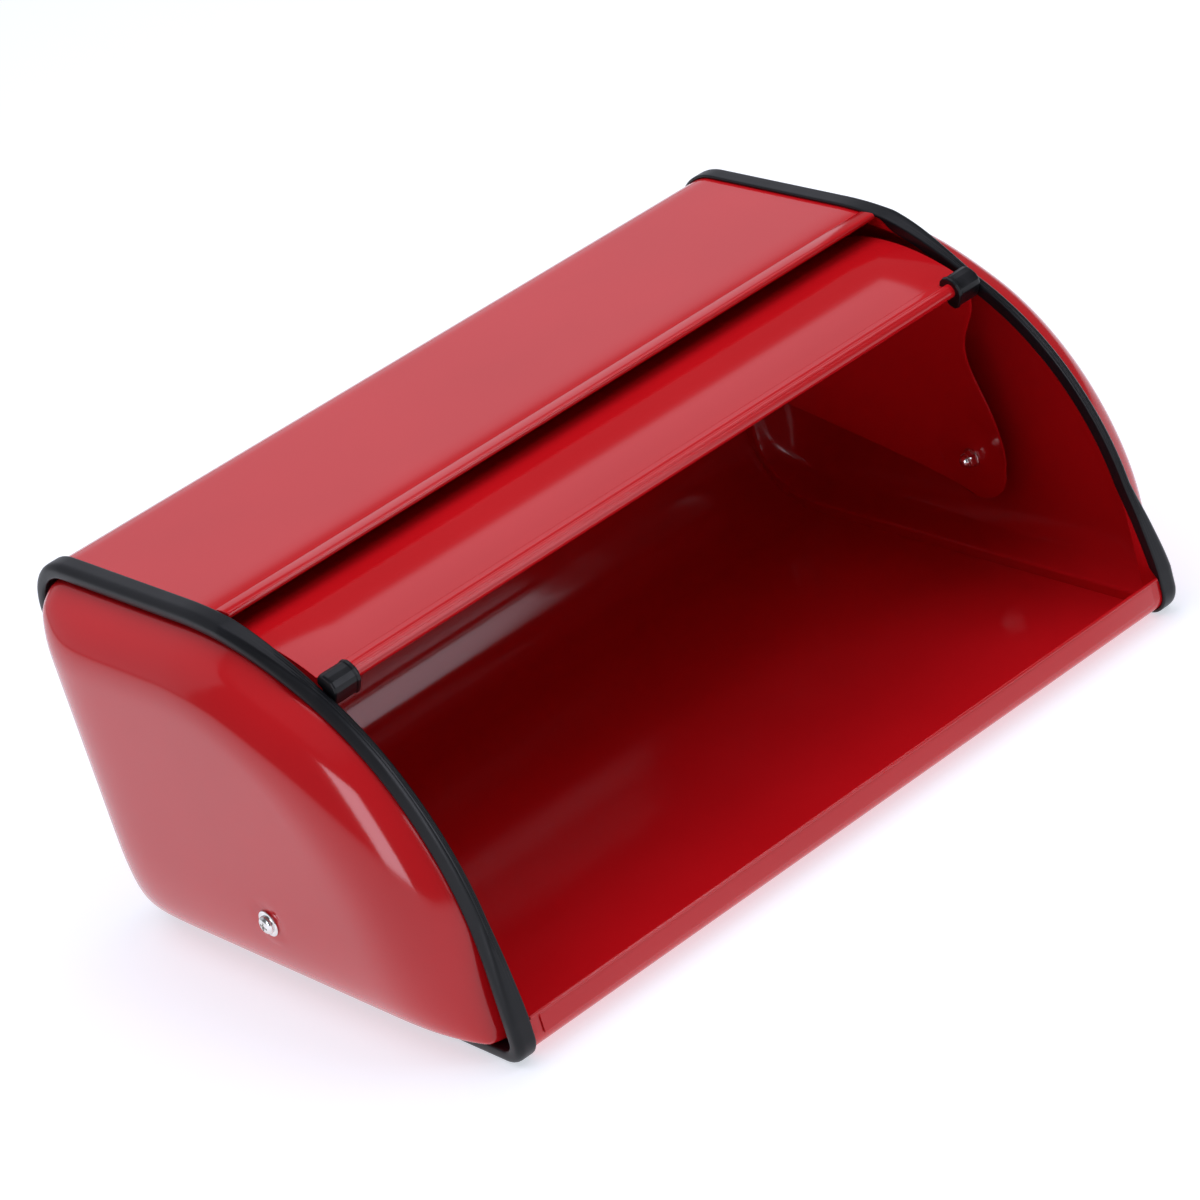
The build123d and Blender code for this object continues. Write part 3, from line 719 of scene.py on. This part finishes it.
for side, nm in ((1, "right"), (-1, "left")):
    v, f = wing_mesh(side)
    ob = obj_from(f"lid_{nm}_wing_plate", v, f, RED, "lid", [f"lid_{nm}_wing"], angle=40, weld=0.02)
    s = ob.modifiers.new("sheet", "SOLIDIFY")
    s.thickness = 0.0008
    s.offset = 0.0
    s.use_even_offset = True
    b = ob.modifiers.new("arris", "BEVEL")
    b.width = 0.00018
    b.segments = 2
    b.limit_method = "ANGLE"
    b.angle_limit = math.radians(50)


# ------------------------------------------------------------ bumpers
def bumper_mesh(side):
    a = math.radians(OPEN_ANGLE)
    out = (-math.sin(a), math.cos(a))
    fwd = (-math.cos(a), -math.sin(a))
    cy, cz = pol(BAR_C, OPEN_ANGLE)
    # hood section: octagonal top, straight leg down at the front
    ring = [(-6.1, -2.6), (-6.4, 0.6), (-5.2, 3.1), (-2.9, 4.75), (-0.2, 5.1), (2.6, 4.75), (4.7, 3.2),
            (5.7, 0.9), (5.7, -3.2), (5.2, -6.2), (4.0, -7.6), (1.2, -7.9), (-0.6, -7.4), (-1.4, -5.0), (-3.2, -3.6)]
    n = len(ring)
    stations = [(161.7, 0.55), (161.85, 0.22), (162.3, 0.0), (163.4, 0.0), (163.7, 0.35), (164.2, 0.42), (168.0, 0.36), (172.4, 0.30),
                (173.7, 0.45), (174.25, 0.8), (174.45, 1.3)]
    verts = []
    sec = np.array(ring, float)
    t = np.roll(sec, -1, 0) - np.roll(sec, 1, 0)
    t /= np.linalg.norm(t, axis=1)[:, None]
    nr = np.stack([-t[:, 1], t[:, 0]], 1)
    cen = np.array([0, 0])
    sgn = np.sign((nr * (sec - sec.mean(0))).sum(1))
    nr *= sgn[:, None]
    for x, sh in stations:
        for (u, w), q in zip(sec, nr):
            uu, ww = u - q[0] * sh, w - q[1] * sh
            verts.append((side * x, cy + fwd[0] * uu + out[0] * ww, cz + fwd[1] * uu + out[1] * ww))
    faces = grid_faces(len(stations), n, close_v=True)
    faces.append(tuple(range(n)))
    faces.append(tuple(reversed(range((len(stations) - 1) * n, len(stations) * n))))
    return verts, faces


for side, nm in ((1, "right"), (-1, "left")):
    v, f = bumper_mesh(side)
    ob = obj_from(f"lid_{nm}_bumper_moulding", v, f, BUMPER, "lid", [f"lid_{nm}_bumper"], angle=60, weld=0.002)
    b = ob.modifiers.new("arris", "BEVEL")
    b.width = 0.0005
    b.segments = 3
    b.limit_method = "ANGLE"
    b.angle_limit = math.radians(14)


# ------------------------------------------------------------ pivot hardware
def screw_mesh(side):
    seat = DOME_TOP + 1.0
    prof = [(seat - 16.0, 0.0), (seat - 16.0, 1.7), (seat - 15.6, 2.0), (seat, 2.0), (seat, 3.85), (seat + 0.12, 4.0),
            (seat + 0.7, 4.0), (seat + 1.2, 3.86), (seat + 1.65, 3.5), (seat + 2.0, 2.95), (seat + 2.25, 2.2),
            (seat + 2.36, 1.4), (seat + 2.4, 0.0)]
    v, f = lathe(prof, 56)
    return v, f


def cross_cut(ob, side, seat):
    """Sinks the cross recess into the head with a tapered cutter."""
    cuts = []
    for k in range(2):
        me = bpy.data.meshes.new(f"cut{k}")
        bm = bmesh.new()
        a = 22 + 90 * k
        c, s = math.cos(math.radians(a)), math.sin(math.radians(a))
        pts = []
        for x, l, w in ((seat + 0.55, 0.9, 0.28), (seat + 3.0, 2.75, 0.62)):
            for sl, sw in ((-1, -1), (1, -1), (1, 1), (-1, 1)):
                u, t = sl * l, sw * w
                pts.append(bm.verts.new((side * x * MM, (PY + u * c - t * s) * MM, (PZ + u * s + t * c) * MM)))
        q = pts
        for idx in ((0, 1, 2, 3), (7, 6, 5, 4), (0, 4, 5, 1), (1, 5, 6, 2), (2, 6, 7, 3), (3, 7, 4, 0)):
            bm.faces.new([q[i] for i in idx])
        bmesh.ops.recalc_face_normals(bm, faces=bm.faces)
        bm.to_mesh(me)
        bm.free()
        cut = bpy.data.objects.new(f"cut{k}", me)
        bpy.context.scene.collection.objects.link(cut)
        cuts.append(cut)
    for cut in cuts:
        m = ob.modifiers.new("recess", "BOOLEAN")
        m.operation = "DIFFERENCE"
        m.solver = "EXACT"
        m.object = cut
    dg = bpy.context.evaluated_depsgraph_get()
    new = bpy.data.meshes.new_from_object(ob.evaluated_get(dg))
    ob.modifiers.clear()
    old = ob.data
    ob.data = new
    bpy.data.meshes.remove(old)
    for cut in cuts:
        me = cut.data
        bpy.data.objects.remove(cut)
        bpy.data.meshes.remove(me)
    ob.data.shade_smooth()
    ob.data.set_sharp_from_angle(angle=math.radians(32))


def nut_mesh(side):
    """Domed cap nut: chamfered hexagon that runs into a small collar and a ball end."""
    x1 = BOSS_X - 0.35 - 0.8
    steps = 72
    hex_r = lambda a: 3.5 / math.cos(((math.degrees(a) + 30) % 60 - 30) * math.pi / 180)
    rows = []
    prof = [(x1, "hex", -0.25), (x1 - 0.18, "hex", 0.0), (x1 - 2.6, "hex", 0.0), (x1 - 2.95, "mix", 0.45),
            (x1 - 3.1, 3.2, 0), (x1 - 3.15, 2.95, 0)]
    for k in range(1, 10):
        a = math.radians(90 * k / 9)
        prof.append((x1 - 3.1 - 2.85 * math.sin(a), 2.95 * math.cos(a) + 1e-3, 0))
    verts = []
    for k in range(steps):
        a = 2 * math.pi * k / steps
        for x, r, off in prof:
            if r == "hex":
                rad = hex_r(a) + off * 0.6
            elif r == "mix":
                rad = min(hex_r(a) - 0.12, 3.62)
            else:
                rad = r
            verts.append((x, PY + rad * math.cos(a), PZ + rad * math.sin(a)))
    faces = grid_faces(steps, len(prof), close_u=True)
    faces.append(tuple(k * len(prof) for k in range(steps)))
    return verts, faces


def ring_mesh(r_in, r_out, x0, x1, rnd):
    prof = [(x0, r_in + rnd * 0.5), (x0, r_out - rnd), (x0 + rnd * 0.3, r_out - rnd * 0.3), (x0 + rnd, r_out),
            (x1 - rnd, r_out), (x1 - rnd * 0.3, r_out - rnd * 0.3), (x1, r_out - rnd), (x1, r_in + rnd * 0.5),
            (x1 - rnd * 0.5, r_in), (x0 + rnd * 0.5, r_in)]
    steps = 64
    verts = []
    for k in range(steps):
        a = 2 * math.pi * k / steps
        verts += [(x, PY + r * math.cos(a), PZ + r * math.sin(a)) for x, r in prof]
    return verts, grid_faces(steps, len(prof), close_u=True, close_v=True)


for side, nm in ((1, "right"), (-1, "left")):
    v, f = screw_mesh(side)
    ob = obj_from(f"{nm}_pivot_screw_head", v if side > 0 else mirrored(v), f, METAL, "box", [f"{nm}_pivot_screw"], weld=0.01)
    cross_cut(ob, side, DOME_TOP + 1.0)
    v, f = nut_mesh(side)
    obj_from(f"{nm}_cap_nut_turned", v if side > 0 else mirrored(v), f, METAL, "box", [f"{nm}_cap_nut"], weld=0.01)
    v, f = ring_mesh(2.15, 5.75, DOME_TOP, DOME_TOP + 1.0, 0.35)
    obj_from(f"{nm}_outer_washer_ring", v if side > 0 else mirrored(v), f, METAL, "box", [f"{nm}_outer_washer"])
    v, f = ring_mesh(2.15, 4.5, BOSS_X - 1.15, BOSS_X - 0.35, 0.15)
    obj_from(f"{nm}_inner_washer_ring", v if side > 0 else mirrored(v), f, METAL, "box", [f"{nm}_inner_washer"])
    v, f = ring_mesh(2.05, 4.5, BOSS_X + 0.8 + 0.35, DOME_TOP - 0.8, 0.3)
    obj_from(f"{nm}_spacer_bush_turned", v if side > 0 else mirrored(v), f, NYLON, "box", [f"{nm}_spacer_bush"])


# ------------------------------------------------------------ stage, light and camera
me = bpy.data.meshes.new("floor")
me.from_pydata([(-9, -9, 0), (9, -9, 0), (9, 9, 0), (-9, 9, 0)], [], [(0, 1, 2, 3)])
me.materials.append(floor_look())
floor = bpy.data.objects.new("floor", me)
bpy.context.scene.collection.objects.link(floor)


def softbox(name, loc, target, sx, sy, watts, colour=(1, 1, 1)):
    l = bpy.data.lights.new(name, "AREA")
    l.shape = "RECTANGLE"
    l.size, l.size_y = sx, sy
    l.energy = watts
    l.color = colour
    o = bpy.data.objects.new(name, l)
    o.location = loc
    d = Vector(target) - Vector(loc)
    o.rotation_euler = d.to_track_quat("-Z", "Y").to_euler()
    bpy.context.scene.collection.objects.link(o)
    return o


COOL = (0.87, 0.885, 1.0)
# overhead softbox: its far edge gives the soft-edged band on the lid
softbox("overhead", (0.60, 0.40, 1.5), (0.60, 0.40, 0.0), 1.36, 1.05, 5.4, COOL)
# tall panel behind, reflected by the top of the box
softbox("behind", (1.42, 3.2, 1.2), (0.75, 0.0, 0.5), 2.5, 1.9, 10.0, COOL)
# and a dimmer one left of it, for the end cap
softbox("behind_left", (-1.05, 2.15, 1.3), (-0.2, 0.0, 0.4), 2.3, 2.4, 7.6, COOL)
# soft top light, left of the box: fills, without a mirror image of its own
o = softbox("top_left", (-0.35, 0.1, 2.0), (-0.05, 0.0, 0.0), 1.7, 1.7, 21.0, COOL)
o.visible_glossy = False
# narrow tall panel at the left front, the streak on the end cap
o = softbox("side", (-2.0, -0.68, 0.80), (-0.19, -0.08, 0.10), 0.78, 1.6, 20.0, COOL)
o.visible_diffuse = False
# steep front light: the lid's shadow leaves the back of the box dark
softbox("front_top", (0.85, -1.35, 2.3), (0.0, -0.05, 0.05), 1.4, 0.7, 14.0, COOL)
# broad low panel in front, seen in the rolled edges and the rear corner inside
o = softbox("front", (0.60, -2.5, 1.0), (0.05, 0.0, 0.05), 1.75, 1.8, 24.0, COOL)
o.visible_diffuse = False

world = bpy.data.worlds.new("studio")
bpy.context.scene.world = world
world.use_nodes = True
bg = world.node_tree.nodes["Background"]
bg.inputs["Color"].default_value = (0.9, 0.93, 1.0, 1)
bg.inputs["Strength"].default_value = 0.16

R = Vector((0.7330, -0.6294, -0.2579)).normalized()
F = Vector((0.4861, 0.7500, -0.4485)).normalized()
U = R.cross(F).normalized()
R = F.cross(U).normalized()
cam_data = bpy.data.cameras.new("camera")
cam_data.sensor_width = 36.0
cam_data.sensor_fit = "HORIZONTAL"
cam_data.lens = 144.78
cam_data.clip_start, cam_data.clip_end = 0.05, 40.0
cam = bpy.data.objects.new("camera", cam_data)
rot = Matrix((R, U, -F)).transposed()
cam.matrix_world = Matrix.Translation(Vector((-0.96584, -1.47867, 0.96419))) @ rot.to_4x4()
bpy.context.scene.collection.objects.link(cam)
bpy.context.scene.camera = cam
bpy.context.scene.view_settings.view_transform = "Standard"
bpy.context.scene.view_settings.look = "None"
